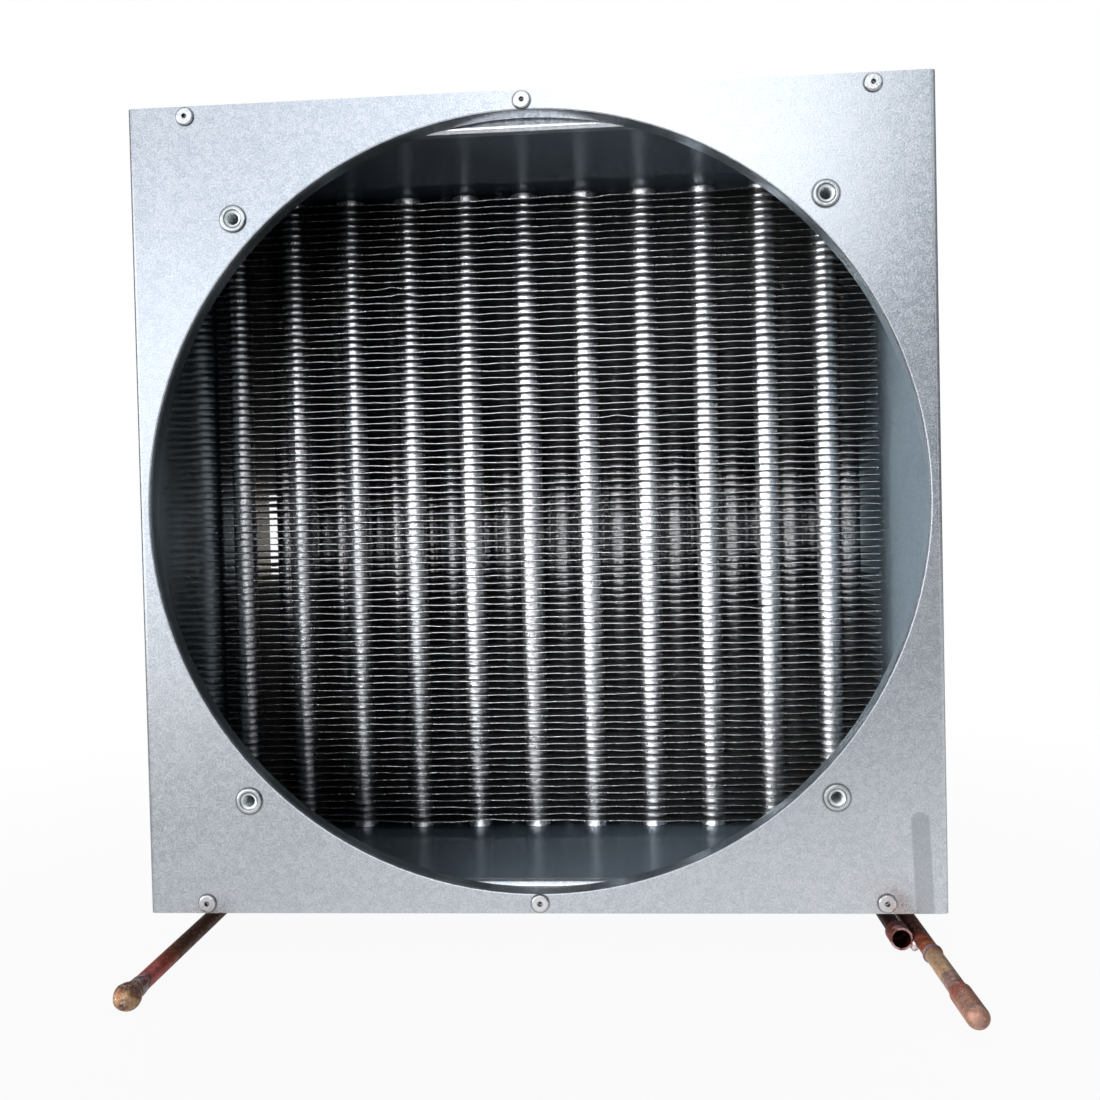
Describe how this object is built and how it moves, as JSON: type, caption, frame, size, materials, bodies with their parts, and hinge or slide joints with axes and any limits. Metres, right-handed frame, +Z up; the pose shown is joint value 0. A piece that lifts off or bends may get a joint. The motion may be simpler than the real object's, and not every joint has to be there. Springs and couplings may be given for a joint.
{
  "type": "refrigeration condenser",
  "caption": "Finned tube condenser coil behind a square galvanised fan shroud with a round collared opening, and copper connection pipes running forward below it.",
  "frame": {"origin": "centre of the round fan opening, on the front face of the shroud's front plate", "axes": "-Y points out of the fan opening towards the fan, +Y to the rear through the coil, +Z up along the tubes, +X to the right when looking at the fan opening"},
  "size_m": [0.286, 0.204, 0.323],
  "materials": {
    "galvanised_sheet": "spangled zinc",
    "fin_aluminium": "bare sheet",
    "rivet_aluminium": "bright",
    "nut_steel": "zinc plated",
    "braze": "dull",
    "copper": "heat stained"
  },
  "bodies": {
    "root": {"braze_fillets": "braze", "end_plate_bottom": "galvanised_sheet", "end_plate_top": "galvanised_sheet", "fan_rivet_nuts": "nut_steel", "fins_lower": "fin_aluminium", "fins_middle": "fin_aluminium", "fins_upper": "fin_aluminium", "hairpin_01": "copper", "hairpin_02": "copper", "hairpin_03": "copper", "hairpin_04": "copper", "hairpin_05": "copper", "hairpin_06": "copper", "hairpin_07": "copper", "hairpin_08": "copper", "hairpin_09": "copper", "hairpin_10": "copper", "hairpin_11": "copper", "hairpin_12": "copper", "hairpin_13": "copper", "hairpin_14": "copper", "hairpin_15": "copper", "hairpin_16": "copper", "inlet_ball": "copper", "inlet_pipe": "copper", "inlet_reducer": "copper", "liquid_braze_ring": "braze", "liquid_end_cap": "copper", "liquid_pipe": "copper", "outlet_elbow": "copper", "outlet_twin_socket": "copper", "plate_rivets": "rivet_aluminium", "process_stub": "copper", "return_bend_01": "copper", "return_bend_02": "copper", "return_bend_03": "copper", "return_bend_04": "copper", "return_bend_05": "copper", "return_bend_06": "copper", "return_bend_07": "copper", "return_bend_08": "copper", "return_bend_09": "copper", "return_bend_10": "copper", "return_bend_11": "copper", "return_bend_12": "copper", "return_bend_13": "copper", "return_bend_14": "copper", "return_bend_15": "copper", "shroud": "galvanised_sheet"}
  },
  "joints": []
}
